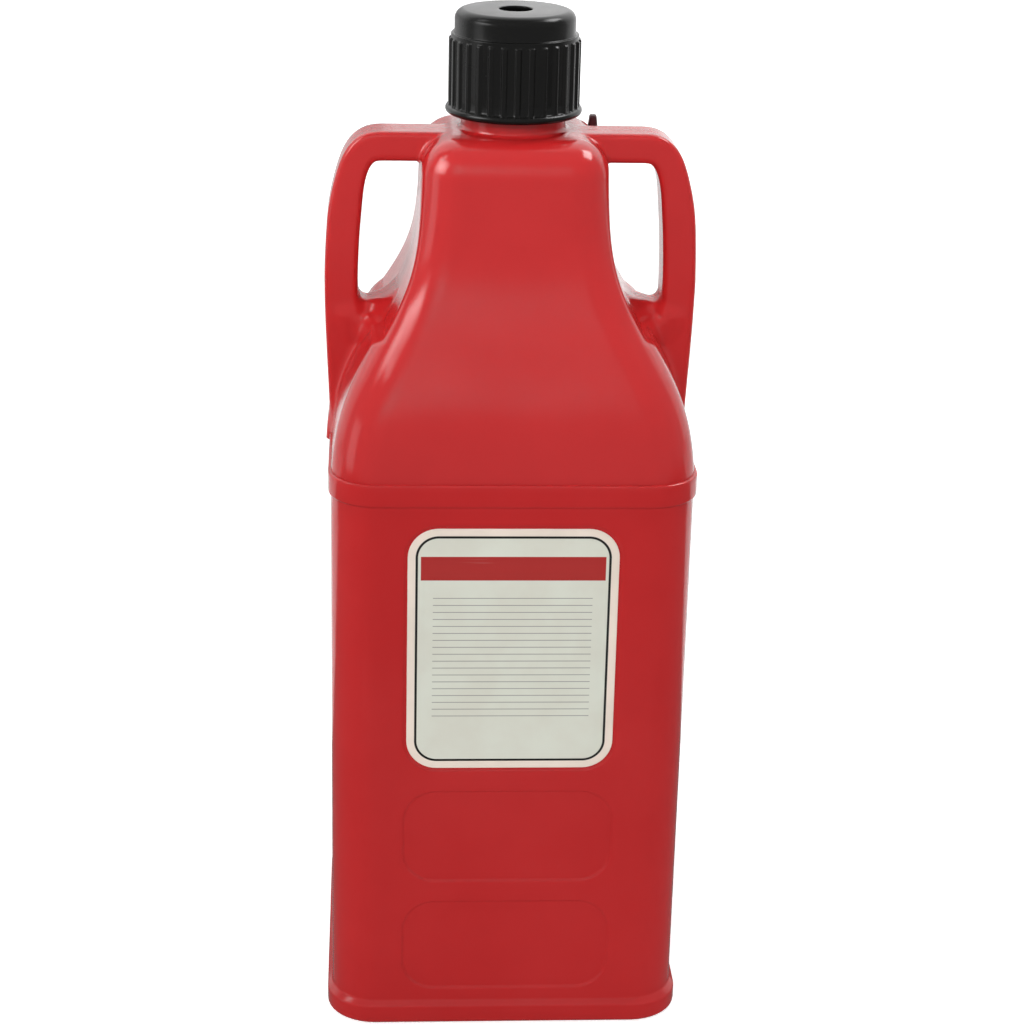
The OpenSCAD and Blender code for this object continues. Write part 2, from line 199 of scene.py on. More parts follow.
class Nodes:
    """The nodes of a material, the world or a shared group, while it is built."""

    def __init__(self, tree: bpy.types.NodeTree) -> None:
        """Take up a node tree."""
        self.tree = tree

    def feed(self, inputs: Sockets, values: dict[object, object]) -> None:
        """Give inputs their values.

        Args:
            inputs: A node's inputs.
            values: By name or number, a number or colour to set or a socket to link.
        """
        for key, value in values.items():
            if isinstance(value, Socket):
                self.tree.links.new(value, inputs[key])
            else:
                inputs[key].default_value = value

    def add(self, kind: str, inputs: dict[object, object], **settings: object) -> Sockets:
        """Add a node.

        Args:
            kind: The end of Blender's name for it.
            inputs: What its inputs get.
            settings: Its own settings.
        Returns:
            Its outputs.
        """
        node = self.tree.nodes.new("ShaderNode" + kind)
        for key, value in settings.items():
            setattr(node, key, value)
        self.feed(node.inputs, inputs)
        return node.outputs

    def calc(self, operation: str, *values: object) -> Socket:
        """Result of a math node: Blender's name for the sum, then a number or a socket for each input."""
        return self.add("Math", dict(enumerate(values)), operation=operation)[0]

    def mix(self, share: Socket, low: object, high: object, amount: float) -> Socket:
        """Blend two colours or sockets by a mask; where it is 1, the given amount of the way to high."""
        given = {0: self.calc("MULTIPLY", share, amount), 6: low, 7: high}
        return self.add("Mix", given, data_type="RGBA")[2]

    def noise(self, place: Socket, scale: object, detail: float, roughness: float = 0.5) -> Socket:
        """Value of a noise, with its cells to the metre, its finer layers and how strong they are."""
        given = {"Vector": place, "Scale": scale, "Detail": detail, "Roughness": roughness}
        return self.add("TexNoise", given)[0]

    def ramp(self, value: Socket, low: float, high: float) -> Socket:
        """Stretch a value so that low becomes 0 and high becomes 1, smoothly and within those ends."""
        given = {"Value": value, "From Min": low, "From Max": high}
        return self.add("MapRange", given, interpolation_type="SMOOTHSTEP")["Result"]

    def past(self, value: Socket, place: float, soft: float) -> Socket:
        """Mask that turns from 0 to 1 at a place in millimetres, or from 1 to 0 if soft is under 0."""
        return self.ramp(value, (place - soft) * MM, (place + soft) * MM)

    def coordinates(self) -> tuple[Socket, Sockets]:
        """A piece's own coordinates, and their three parts."""
        place = self.add("TexCoord", {})["Object"]
        return place, self.add("SeparateXYZ", {0: place})

    def relief(self, height: Socket, reach: float) -> Socket:
        """Normals tilted by a height that stands out by reach, in millimetres, where it is 1."""
        return self.add("Bump", {"Strength": 1.0, "Distance": reach * MM, "Height": height})["Normal"]

    def group(self, source: bpy.types.NodeTree, place: Socket, **values: float) -> Sockets:
        """Outputs of a shared node group that reads the place and has its own numbers here."""
        return self.add("Group", {"Vector": place, **values}, node_tree=source)


def new_material(name: str) -> tuple[bpy.types.Material, Nodes, Sockets]:
    """Start a node material.

    Args:
        name: Its name.
    Returns:
        The material, its nodes and its shader's inputs.
    """
    made = bpy.data.materials.new(name)
    made.use_nodes = True
    return made, Nodes(made.node_tree), made.node_tree.nodes["Principled BSDF"].inputs


def new_group(name: str, outputs: Sequence[str], **inputs: float) -> tuple[Nodes, Sockets, Sockets]:
    """Start a shared node group that reads coordinates and a few numbers.

    Args:
        name: The group's name.
        outputs: Names of the values that it gives.
        inputs: Its numbers, with their defaults.
    Returns:
        The group's nodes, the sockets that it is given and those that it gives.
    """
    tree = bpy.data.node_groups.new(name, "ShaderNodeTree")
    tree.interface.new_socket("Vector", in_out="INPUT", socket_type="NodeSocketVector")
    for key, value in inputs.items():
        tree.interface.new_socket(key, in_out="INPUT", socket_type="NodeSocketFloat").default_value = value
    for key in outputs:
        tree.interface.new_socket(key, in_out="OUTPUT", socket_type="NodeSocketFloat")
    given, result = tree.nodes.new("NodeGroupInput"), tree.nodes.new("NodeGroupOutput")
    return Nodes(tree), given.outputs, result.inputs


@cache
def moulded_grain() -> bpy.types.NodeTree:
    """Orange peel and slow flow marks of a moulded skin.

    Returns:
        A group with Height, a fine relief on a soft swell, and Mottle, a slow mask.
    """
    swell_cells, swell_height, mottle_low, mottle_high = 38.0, 6.0, 0.3, 0.7
    nodes, given, result = new_group("moulded_grain", ("Height", "Mottle"), Grain=400.0, Flow=9.0)
    fine = nodes.noise(given["Vector"], given["Grain"], detail=2.0)
    slow = nodes.noise(given["Vector"], given["Flow"], detail=3.0, roughness=0.55)
    swell = nodes.noise(given["Vector"], swell_cells, detail=1.0)
    height = nodes.calc("MULTIPLY_ADD", swell, swell_height, fine)
    nodes.feed(result, {"Height": height, "Mottle": nodes.ramp(slow, mottle_low, mottle_high)})
    return nodes.tree


@cache
def handling_scuffs() -> bpy.types.NodeTree:
    """Thin rubbed streaks, in patches, from being carried and set down.

    Returns:
        A group with Scuff, a mask from 0 to 1.
    """
    streak_turn, streak_cells, patch_cells = (0.5, 0.3, 0.9), (14.0, 260.0, 260.0), 7.0
    streak_range, patch_range = (0.66, 0.76), (0.5, 0.68)
    nodes, given, result = new_group("handling_scuffs", ("Scuff",), Amount=0.3)
    along = nodes.add("Mapping", {"Vector": given["Vector"], "Rotation": streak_turn, "Scale": streak_cells})
    streak = nodes.ramp(nodes.noise(along["Vector"], scale=1.0, detail=2.0), *streak_range)
    patch = nodes.ramp(nodes.noise(given["Vector"], patch_cells, detail=2.0), *patch_range)
    rubbed = nodes.calc("MULTIPLY", streak, patch)
    nodes.feed(result, {"Scuff": nodes.calc("MULTIPLY", rubbed, given["Amount"])})
    return nodes.tree


def moulding_seam(nodes: Nodes, parts: Sockets) -> Socket:
    """Thin raised line where the two halves of the mould met: the middle plane of the handles and side walls.

    Args:
        nodes: The material's nodes.
        parts: Object coordinates.
    Returns:
        A mask, 1 on the line.
    """
    line_half, line_soft, flank_x, flank_soft = 0.6, 0.3, 55.0, 3.0
    line = nodes.past(nodes.calc("ABSOLUTE", parts[1]), line_half, -line_soft)
    flank = nodes.past(nodes.calc("ABSOLUTE", parts[0]), flank_x, flank_soft)
    return nodes.calc("MULTIPLY", line, flank)


@dataclass(frozen=True)
class Finish:
    """A moulded or rubber surface: colour, gloss, grain, flow marks and handling wear."""

    name: str
    colour: Colour
    pale: Colour
    gloss: float
    gloss_spread: float
    grain_size: float
    grain_height: float
    flow: float
    wear: float
    ior: float = 1.46
    seam: float = 0.0
    flow_size: float = 9.0
    wear_tint: float = 0.5
    wear_gloss: float = 0.25

    @cache
    def material(self) -> bpy.types.Material:
        """Build the surface's node material, once.

        Returns:
            The material.
        """
        made, nodes, shader = new_material(self.name)
        place, parts = nodes.coordinates()
        grain = nodes.group(moulded_grain(), place, Grain=self.grain_size, Flow=self.flow_size)
        scuffs = nodes.group(handling_scuffs(), place, Amount=self.wear)
        tint = nodes.mix(grain["Mottle"], self.colour, self.pale, self.flow)
        rough = nodes.calc("MULTIPLY_ADD", grain["Mottle"], self.gloss_spread, self.gloss)
        relief = grain["Height"]
        if self.seam:
            relief = nodes.calc("MULTIPLY_ADD", moulding_seam(nodes, parts), self.seam, relief)
        nodes.feed(shader, {
            "IOR": self.ior, "Base Color": nodes.mix(scuffs["Scuff"], tint, self.pale, self.wear_tint),
            "Roughness": nodes.calc("MULTIPLY_ADD", scuffs["Scuff"], self.wear_gloss, rough),
            "Normal": nodes.relief(relief, self.grain_height)})
        return made

    def dress(self, node: str) -> None:
        """Give one of the frame's own solids this finish.

        Args:
            node: The solid's name.
        """
        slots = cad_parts[node].data.materials
        slots.clear()
        slots.append(self.material())
        LOG.info("%s: dressed in %s", node, self.name)


RED_TANK = Finish("moulded_red", (0.49, 0.0165, 0.0175, 1.0), (0.53, 0.0205, 0.0215, 1.0), gloss=0.12,
                  gloss_spread=0.03, grain_size=900.0, grain_height=0.05, flow=0.6, wear=0.2, seam=5.0)
BLACK_CAP = Finish("satin_black", linear(8, 8, 7), linear(17, 17, 16), gloss=0.2,
                   gloss_spread=0.08, grain_size=1400.0, grain_height=0.03, flow=0.5, wear=0.5, ior=1.34)
SEAL_RUBBER = Finish("seal_rubber", linear(18, 18, 18), linear(34, 34, 33), gloss=0.62,
                     gloss_spread=0.1, grain_size=1600.0, grain_height=0.04, flow=0.5, wear=0.2, ior=1.45)
DARK_VENT = Finish("vent_maroon", linear(62, 22, 27), linear(84, 38, 42), gloss=0.34,
                   gloss_spread=0.08, grain_size=1400.0, grain_height=0.03, flow=0.5, wear=0.3)


@dataclass
class Piece:
    """A finished mesh, ready to be put on its body."""

    name: str
    points: Array
    faces: Array
    body: Body
    material: bpy.types.Material
    slot: str
    replaces: Sequence[str]
    sharp: float

    def place(self) -> bpy.types.Object:
        """Make the object, dress it and let it ride.

        Returns:
            The object.
        """
        points, faces = weld(self.points, self.faces)
        mesh = bpy.data.meshes.new(self.name)
        mesh.from_pydata((points * MM).tolist(), [], faces)
        mesh.polygons.foreach_set("use_smooth", np.ones(len(faces), bool))
        mesh.set_sharp_from_angle(angle=math.radians(self.sharp))
        mesh.materials.append(self.material)
        mesh.update()
        made = link(self.name, mesh)
        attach(made, self.body.value)
        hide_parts(*self.replaces)
        LOG.info("%s: %d points, %d faces", self.name, len(points), len(faces))
        return made


@dataclass(frozen=True)
class Helix:
    """A thread's ridge: where it starts, how it climbs, its section, and how fast its ends run out."""

    start: float
    pitch: float
    turns: float
    root: float
    crest: float
    depth: float
    wall_r: float
    runout: float = 12.0

    def height(self, angle: Array, z: Array) -> Array:
        """Ridge height above its wall.

        Args:
            angle: Angle round the axis, from 0 to a full turn.
            z: Height along the axis.
        Returns:
            The height, 0 off the ridge.
        """
        climbed, share = (z - self.start) / self.pitch, angle / TURN
        along = np.round(climbed - share) + share
        turn = np.clip(along, 0.0, self.turns)
        off = np.abs(climbed - turn) * self.pitch
        ends = np.clip(np.minimum(turn, self.turns - turn) * self.runout, 0.0, 1.0)
        valid = (along >= 0.0) & (along <= self.turns)
        return self.depth * smooth(self.root, self.crest, off) * ends * valid


def turned(profile: Array, columns: int, helix: Helix, centre: Pair = (0.0, 0.0),
           outward: float = 1.0) -> Array:
    """Turn a profile of radius and height round an upright axis, with a thread on one of its walls.

    Args:
        profile: Radius and height, one a row.
        columns: Number of steps round.
        helix: The thread, which stands on the wall of its own radius.
        centre: Where the axis stands.
        outward: 1 for a thread outside its wall, -1 for one inside a bore.
    Returns:
        Places by profile row and step round.
    """
    angle = np.linspace(0.0, TURN, columns, endpoint=False)[None]
    radius, z = (np.repeat(profile[:, i, None], columns, axis=1) for i in (0, 1))
    on_wall = np.abs(profile[:, 0, None] - helix.wall_r) < NEAR
    radius = radius + outward * helix.height(np.broadcast_to(angle, z.shape), z) * on_wall
    return np.stack([centre[0] + radius * np.cos(angle), centre[1] + radius * np.sin(angle), z], axis=-1)


@dataclass
class Tank:
    """The moulded tank: body with foot and belt, shoulder with handles, neck, and skin of the fuel space."""

    belt_half: float = 152.5
    belt_proud: float = 2.2
    belt_height: float = 18.0
    belt_top: float = 504.0
    belt_edge: float = 1.5
    belt_lap: float = 8.0
    foot_proud: float = 4.2
    foot_height: float = 22.0
    foot_rounding: float = 5.0
    base_recess: float = 5.0
    stand_rim: float = 11.0
    corner: float = 40.0
    wall: float = 4.0
    wall_bow: float = 0.35
    deck_z: float = 765.0
    waist_half: float = 75.5
    crown_rounding: float = 29.0
    crown_corner: float = 34.0
    flare_height: float = 104.0
    flare_softness: float = 29.0
    flare_skew: float = 0.7
    pocket_depth: float = 6.0
    pocket_floor: float = 101.5
    pocket_edge: float = 2.5
    pocket_height: float = 150.0
    pocket_ledge: float = 5.0
    pocket_full: float = 40.0
    pocket_fade: float = 20.0
    handle_half: float = 156.5
    handle_fillet: float = 5.0
    grip: float = 28.0
    grip_depth: float = 40.0
    grip_rounding: float = 4.5
    grip_height: float = 136.0
    grip_inset: float = 0.8
    grip_pull: float = 50.0
    grip_lean: float = 1.0
    bar: float = 24.5
    bar_drop: float = 1.2
    bar_length: float = 33.0
    bar_start: float = 30.0
    bar_end: float = 75.0
    bend_out: float = 20.0
    bend_drop: float = 23.0
    bend_lean: float = 2.0
    gap_floor: float = 113.0
    gap_corner: float = 9.0
    web_climb: float = 8.0
    web_half: float = 14.0
    web_taper: float = 0.5
    web_lean: float = 1.118
    web_inset: float = 2.0
    web_fillet: float = 20.0
    web_rise: float = 40.0
    web_fade: Pair = (46.0, 14.0)
    bend_fade: Pair = (40.0, 8.0)
    handle_fade: Pair = (0.5, 13.0)
    least_fillet: float = 1.0
    least_root: float = 0.1
    panel_half: float = 89.5
    panel_depth: float = 1.6
    panel_corner: float = 28.0
    panel_ease: Pair = (0.55, -0.85)
    panel_step: float = 1.1
    panel_margin: float = 2.5
    panels: tuple[Pair, ...] = ((34.0, 120.0), (140.0, 226.0), (246.0, 468.0))
    neck_r: float = 43.5
    neck_wall: float = 5.0
    neck_foot: float = 4.0
    neck_lap: float = 3.0
    neck_drop: float = 40.0
    rim_z: float = 848.0
    rim_rounding: Pair = (1.6, 1.2)
    thread: Helix = Helix(start=796.0, pitch=8.0, turns=2.5, root=2.1, crest=0.9, depth=2.4, wall_r=neck_r)
    vent: Pair = VENT_AXIS
    vent_seat: float = 753.0
    spot_r: float = 9.15
    spot_edge: float = 1.0
    boss_r: float = 12.55
    boss_height: float = 16.0
    boss_taper: float = 0.432
    boss_lean: float = 0.92
    boss_edge: float = 0.8
    boss_fillet: float = 3.0
    bush_hole: float = 6.28
    bush_depth: float = 12.0
    voxel: float = 2.26

    @property
    def body_half(self) -> float:
        """Half width of the plain body."""
        return self.belt_half - self.belt_proud

    @property
    def crown_z(self) -> float:
        """Height at which the crown starts to round over."""
        return self.deck_z - self.crown_rounding

    @property
    def gap_z(self) -> float:
        """Height of the hand gaps' floor at the grips."""
        return self.belt_top + self.gap_floor

    def flare(self, z: Array) -> Array:
        """Half width of the shoulder: a skewed logistic curve of the height, from the belt in to the waist.

        Args:
            z: Height.
        Returns:
            Half width.
        """
        skew = math.log(2.0 ** (1.0 / self.flare_skew) - 1.0)
        middle = self.belt_top + self.flare_height - self.flare_softness * skew
        share = (1.0 + np.exp((z - middle) / self.flare_softness)) ** -self.flare_skew
        return self.waist_half + (self.belt_half - self.waist_half) * share

    def side(self, z: Array) -> Array:
        """Where the side faces are cut back above a ledge to make room for hands; clear of them elsewhere.

        Args:
            z: Height.
        Returns:
            Half width.
        """
        up = z - self.belt_top - self.pocket_floor
        clear = 2.0 * self.pocket_edge
        share = smooth(-self.pocket_ledge, self.pocket_ledge, up)
        share = share * smooth(self.pocket_height, self.pocket_height - self.pocket_fade, up)
        depth = self.pocket_depth * smooth(self.pocket_height, self.pocket_full, up)
        return self.flare(z) + clear - (depth + clear) * share

    def shoulder_corner(self, z: Array) -> Array:
        """Corner radius of the shoulder, which changes evenly with height from the belt to the crown."""
        share = np.clip((z - self.belt_top) / (self.crown_z - self.belt_top), 0.0, 1.0)
        return self.corner + (self.crown_corner - self.corner) * share

    def handle_line(self) -> Array:
        """Centre line of the right handle: a cubic bend from the top bar into the grip, then to the belt.

        Returns:
            Evenly spaced points of x and z.
        """
        crown = float(self.flare(np.array(self.crown_z)))
        bar_z = self.deck_z - self.bar_drop - self.bar / 2.0
        bar_x = crown + self.bar_length
        grip_x, grip_z = self.handle_half - self.grip / 2.0, self.belt_top + self.grip_height
        foot_x = self.belt_half - self.grip_inset - self.grip / 2.0
        foot_z = self.belt_top - self.belt_height / 2.0
        bend = np.array([[bar_x, bar_z], [bar_x + self.bend_out, bar_z],
                         [grip_x - self.bend_lean, bar_z - self.bend_drop], [grip_x, grip_z]])
        low = np.array([[grip_x, grip_z], [grip_x, grip_z - self.grip_pull],
                        [foot_x + self.grip_lean, foot_z + self.grip_pull], [foot_x, foot_z]])
        bend_points, line_points = 60, 140
        share = np.linspace(0.0, 1.0, bend_points)[:, None]
        rest = 1 - share
        terms = (rest ** 3, 3 * share * rest ** 2, 3 * share ** 2 * rest, share ** 3)
        weights = np.concatenate(terms, axis=1)
        line = np.concatenate([[[crown - self.crown_rounding, bar_z]], weights @ bend, (weights @ low)[1:]])
        run = np.concatenate([[0.0], np.cumsum(np.linalg.norm(np.diff(line, axis=0), axis=1))])
        even = np.linspace(0.0, run[-1], line_points)
        line = np.stack([np.interp(even, run, line[:, 0]), np.interp(even, run, line[:, 1])], axis=1)
        padded = np.concatenate([np.repeat(line[:1], 2, axis=0), line, np.repeat(line[-1:], 2, axis=0)])
        return (padded[:-4] + 2 * padded[1:-3] + 3 * padded[2:-2] + 2 * padded[3:-1] + padded[4:]) / 9.0

    def ribbon(self, x: Array, z: Array) -> Array:
        """Signed distance, seen from the front, to a handle's ribbon, which is thinner along the top bar.

        Args:
            x, z: Where the distance is wanted.
        Returns:
            The distance, under 0 inside.
        """
        line = self.handle_line()
        across = np.full(np.broadcast(x, z).shape, np.inf)
        for (ax, az), (bx, bz) in zip(line[:-1], line[1:]):
            run, rise = bx - ax, bz - az
            share = ((np.abs(x) - ax) * run + (z - az) * rise) / (run ** 2 + rise ** 2)
            share = np.clip(share, 0.0, 1.0)
            across = np.minimum(across, (np.abs(x) - ax - share * run) ** 2 + (z - az - share * rise) ** 2)
        thin = smooth(self.deck_z - self.bar_end, self.deck_z - self.bar_start, z)
        return np.sqrt(across) - (self.grip + (self.bar - self.grip) * thin) / 2.0

    def web(self, x: Array, y: Array, z: Array, shell: Array, wall: Array) -> Array:
        """Signed distance to the webs below the hand gaps: pinched thin at the gap, thicker further down,
        with a wide fillet to the shoulder.

        Args:
            x, y, z: Where the distance is wanted.
            shell: Distance to the shoulder there.
            wall: Distance to the shoulder's side wall there, seen from the front.
        Returns:
            The distance, under 0 inside.
        """
        gap_z = self.gap_z
        climb = gap_z + self.web_climb
        top = float(self.flare(np.array(climb))) - self.pocket_depth
        run, rise = self.handle_half - self.grip - top, gap_z - climb
        lean = ((np.abs(x) - top) * -rise + (z - climb) * run) / math.hypot(run, rise)
        front = np.maximum(lean, np.abs(x) - self.handle_half + self.grip / 2.0)
        front = round_join(front, wall, self.gap_corner)
        most = self.grip_depth / 2.0 - self.web_inset
        half = np.clip(self.web_half + self.web_taper * (gap_z - z), self.web_half, most)
        start, full = self.web_fade
        fillet = self.web_fillet * smooth(gap_z - start, gap_z - full, z) + self.least_fillet
        slab = round_join(shell, (np.abs(y) - half) / self.web_lean, fillet)
        return round_both(np.maximum(front, z - gap_z - self.web_rise), slab, self.grip_rounding)

    def upper(self, x: Array, y: Array, z: Array) -> Array:
        """Signed distance to the shoulder with its handles, webs and vent boss, all blended with fillets.

        Args:
            x, y, z: Where the distance is wanted; the arrays may be broadcast.
        Returns:
            The distance, under 0 inside.
        """
        up, down = z + 0.5, z - 0.5
        lean_wall = np.hypot(1.0, self.flare(up) - self.flare(down))
        lean_cut = np.hypot(1.0, self.side(up) - self.side(down))
        walls = rounded_box(x, y, self.flare(z), self.flare(z), self.shoulder_corner(z)) / lean_wall
        wall = (np.abs(x) - self.side(z)) / lean_cut
        shell = round_both(round_both(walls, wall, self.pocket_edge), z - self.deck_z, self.crown_rounding)
        handle = round_both(self.ribbon(x, z), np.abs(y) - self.grip_depth / 2.0, self.grip_rounding)
        start, full = self.handle_fade
        root = self.handle_fillet * smooth(self.deck_z - start, self.deck_z - full, z) + self.least_root
        joined = round_join(shell, handle, root)
        start, full = self.bend_fade
        bend = self.gap_corner * smooth(self.gap_z - start, self.gap_z - full, z) + self.least_fillet
        joined = np.minimum(joined, round_join(handle, self.web(x, y, z, shell, wall), bend))
        off = np.hypot(x - self.vent[0], y - self.vent[1])
        taper = self.boss_r - np.maximum(0.0, self.vent_seat - self.boss_height - z) * self.boss_taper
        boss = round_both((off - taper) * self.boss_lean, z - self.vent_seat, self.boss_edge)
        joined = round_join(joined, boss, self.boss_fillet)
        spot = np.maximum(off - self.spot_r, self.vent_seat - z)
        hole = np.maximum(off - self.bush_hole, self.vent_seat - self.bush_depth - z)
        joined = np.maximum(round_both(joined, -spot, self.spot_edge), -hole)
        bore = np.maximum(np.hypot(x, y) - self.neck_r + self.neck_lap, self.deck_z - self.neck_drop - z)
        return np.maximum(np.maximum(joined, -bore), self.belt_top - self.belt_lap - z)

    def slope(self, points: Array) -> tuple[Array, Array]:
        """Distance and its rate of change at points near the skin.

        Args:
            points: Places, one a row.
        Returns:
            The distances, and the gradient at each place.
        """
        step = 0.05
        shifts = np.eye(3) * step
        rates = [self.upper(*(points + shift).T) - self.upper(*(points - shift).T) for shift in shifts]
        return self.upper(*points.T), np.stack(rates, axis=1) / (2.0 * step)

    def shoulder_skin(self) -> Shape:
        """Skin of the shoulder and handles, meshed where the distance is 0 and drawn exactly onto it.

        Returns:
            Points and four-sided faces.
        """
        even_rounds, draw_rounds, least_rate, far = 6, 2, 0.2, 50.0
        beside, around, below = 8.0, 6.0, 14.0
        low = np.array([-self.handle_half - beside, -self.belt_half - around, self.belt_top - below])
        high = np.array([self.handle_half + beside, self.belt_half + around, self.deck_z + around])
        count = np.ceil((high - low) / self.voxel).astype(int)
        x, y, z = (low[i] + self.voxel * np.arange(count[i]) for i in range(3))
        distance = self.upper(x[:, None, None], y[None, :, None], z[None, None, :])
        grid = openvdb.FloatGrid(far)
        grid.copyFromArray(distance.astype(np.float32))
        points, faces = grid.convertToQuads(isovalue=0.0)
        points, faces = low + self.voxel * points.astype(float), faces.astype(int)
        edges = np.concatenate([faces[:, [i, (i + 1) % 4]] for i in range(4)])
        start, end = edges.T
        share = np.bincount(edges.ravel(), minlength=len(points))[:, None]
        for _ in range(even_rounds):
            total = np.stack([np.bincount(start, points[end, i], len(points))
                              + np.bincount(end, points[start, i], len(points)) for i in range(3)], axis=1)
            points = 0.5 * points + 0.5 * total / share
            for _ in range(draw_rounds):
                value, rate = self.slope(points)
                steep = np.maximum((rate ** 2).sum(axis=1, keepdims=True), least_rate)
                points = points - value[:, None] * rate / steep
        return points, faces

    def perimeter(self, fine: bool) -> tuple[Array, Array]:
        """Columns round a square with round corners: a point is core * (half - corner) + out * corner.

        Args:
            fine: Whether the front and back get the closely spaced columns that their panels need.
        Returns:
            Core and outward directions, two numbers a column.
        """
        straight, beside = self.body_half - self.corner, 102.0
        plain_columns, middle_columns, flank_columns, corner_columns = 13, 15, 15, 11
        front = np.linspace(-1.0, 1.0, plain_columns)
        if fine:
            before, after = self.panel_corner + self.panel_margin, 3.0
            edge = np.arange(self.panel_half - before, self.panel_half + after, self.panel_step)
            middle = np.linspace(-edge[0], edge[0], middle_columns)[1:-1]
            right = np.concatenate([edge, [beside, straight]])
            front = np.concatenate([-right[::-1], middle, right]) / straight
        flank = np.linspace(-1.0, 1.0, flank_columns)
        turn = np.radians(np.linspace(0.0, 90.0, corner_columns))[1:-1]
        core, out = [], []
        for quarter, run in enumerate((front, flank, front, flank)):
            c, s = round(math.cos(math.pi / 2 * quarter)), round(math.sin(math.pi / 2 * quarter))
            spin = np.array([[c, s], [-s, c]])
            core += [np.stack([run, -np.ones_like(run)], axis=1) @ spin,
                     np.tile([1.0, -1.0], (len(turn), 1)) @ spin]
            out += [np.tile([0.0, -1.0], (len(run), 1)) @ spin,
                    np.stack([np.sin(turn), -np.cos(turn)], axis=1) @ spin]
        return np.concatenate(core), np.concatenate(out)

    def panel_mask(self, x: Array, z: Array) -> Array:
        """Depth share of the recessed panels: 1 on a panel's floor, 0 on the plain wall, eased over its edge.

        Args:
            x, z: Place on the front or back wall.
        Returns:
            The share.
        """
        share = np.zeros(np.broadcast(x, z).shape)
        for low, high in self.panels:
            middle, half = (low + high) / 2.0, (high - low) / 2.0
            off = rounded_box(x, z - middle, self.panel_half, half, self.panel_corner)
            share = np.maximum(share, smooth(*self.panel_ease, off))
        return share

    def body_levels(self) -> Array:
        """Heights of the plain wall's rings, close together where a panel's edge or corner crosses them.

        Returns:
            The heights, in order.
        """
        reach, before, after = self.panel_corner + 3.0, self.panel_margin, 2.6
        spans = [span for low, high in self.panels for span in ((low, low + reach), (high - reach, high))]
        close = [np.arange(start - before, stop + after, self.panel_step) for start, stop in spans]
        lowest, highest, coarse_step, over_foot, under_belt = 30.0, 480.0, 7.5, 4.0, 6.0
        levels = np.concatenate(close + [np.arange(lowest, highest, coarse_step)])
        wall_top = self.belt_top - self.belt_height
        plain = (levels > self.foot_height + over_foot) & (levels < wall_top - under_belt)
        return np.unique(np.round(levels[plain], 1))

    def body_profile(self) -> Array:
        """Half width and height from the middle of the base, over the foot, up the wall and inside the belt.

        Returns:
            Half width and height, one a row.
        """
        foot, body, belt = self.body_half + self.foot_proud, self.body_half, self.belt_half
        base, flat, under = self.base_recess, foot - self.foot_rounding, self.belt_top - self.belt_height
        recess, step_r, lip_r, ease = flat - self.stand_rim, 3.0, 2.0, 1.2
        hub, floor_start, floor_end, floor_step = self.corner * 0.6, 60.0, recess - 6.0, 30.0
        stand_edge, stand_rise, foot_low, foot_high = 1.0, 0.8, 9.0, 14.0
        lip_under, lip_over, belt_margin, tuck, tuck_end = 1.0, 0.6, 6.0, 10.0, 14.0
        levels = self.body_levels()
        floor = np.linspace(floor_start, floor_end, math.ceil((floor_end - floor_start) / floor_step) + 1)
        return np.concatenate([
            [[hub, base]], np.stack([floor, np.full(len(floor), base)], axis=1),
            arc((floor_end, base - step_r), step_r, 90.0, 20.0, 4),
            [[recess, stand_rise], [recess + stand_edge, 0.0], [flat - stand_edge, 0.0]],
            arc((flat, self.foot_rounding), self.foot_rounding, -90.0, 0.0, 8),
            [[foot, foot_low], [foot, foot_high]],
            arc((foot - step_r, self.foot_height - self.foot_proud - ease), step_r, 0.0, 45.0, 5),
            arc((body + step_r, self.foot_height + ease), step_r, 225.0, 180.0, 5),
            np.stack([np.full(len(levels), body), levels], axis=1),
            arc((body + lip_r, under - self.belt_proud - lip_under), lip_r, 180.0, 135.0, 4),
            arc((belt - lip_r, under + lip_over), lip_r, -45.0, 0.0, 4),
            [[belt, under + belt_margin], [belt, self.belt_top - belt_margin]],
            arc((belt - self.belt_edge, self.belt_top - self.belt_edge), self.belt_edge, 0.0, 90.0, 6),
            [[belt - tuck, self.belt_top], [belt - tuck_end, self.belt_top - tuck]]])

    def body_skin(self) -> Shape:
        """Skin of the base, foot, body and belt: square rings with round corners carried up a profile.

        Returns:
            Points and four-sided faces.
        """
        profile = self.body_profile()
        core, out = self.perimeter(True)
        half, z = profile[:, 0], profile[:, 1, None]
        small, wide, square_on = 20.0, 100.0, 0.999
        radius = np.minimum(self.corner, half * 0.5 + np.minimum(half, small) * 0.2)
        radius = np.where(half > wide, self.corner, radius)
        points = square_rings((core, out), half[:, None], radius)
        facing = np.abs(out[:, 1]) > square_on
        above_foot, bow_start, bow_run = 30.0, 26.0, 450.0
        depth = self.panel_depth * self.panel_mask(points[..., 0], z) * facing * (z > above_foot)
        along, middle = np.clip((z - bow_start) / bow_run, 0.0, 1.0), 1.0 - np.abs(core).min(axis=1) ** 2
        bow = self.wall_bow * np.sin(math.pi * along) ** 2 * middle
        rings = lifted(points - out[None] * (depth + bow)[..., None], profile[:, 1])
        closing = np.zeros((1, rings.shape[1], 3)) + [0.0, 0.0, self.base_recess]
        return as_shape(np.concatenate([closing, rings]))

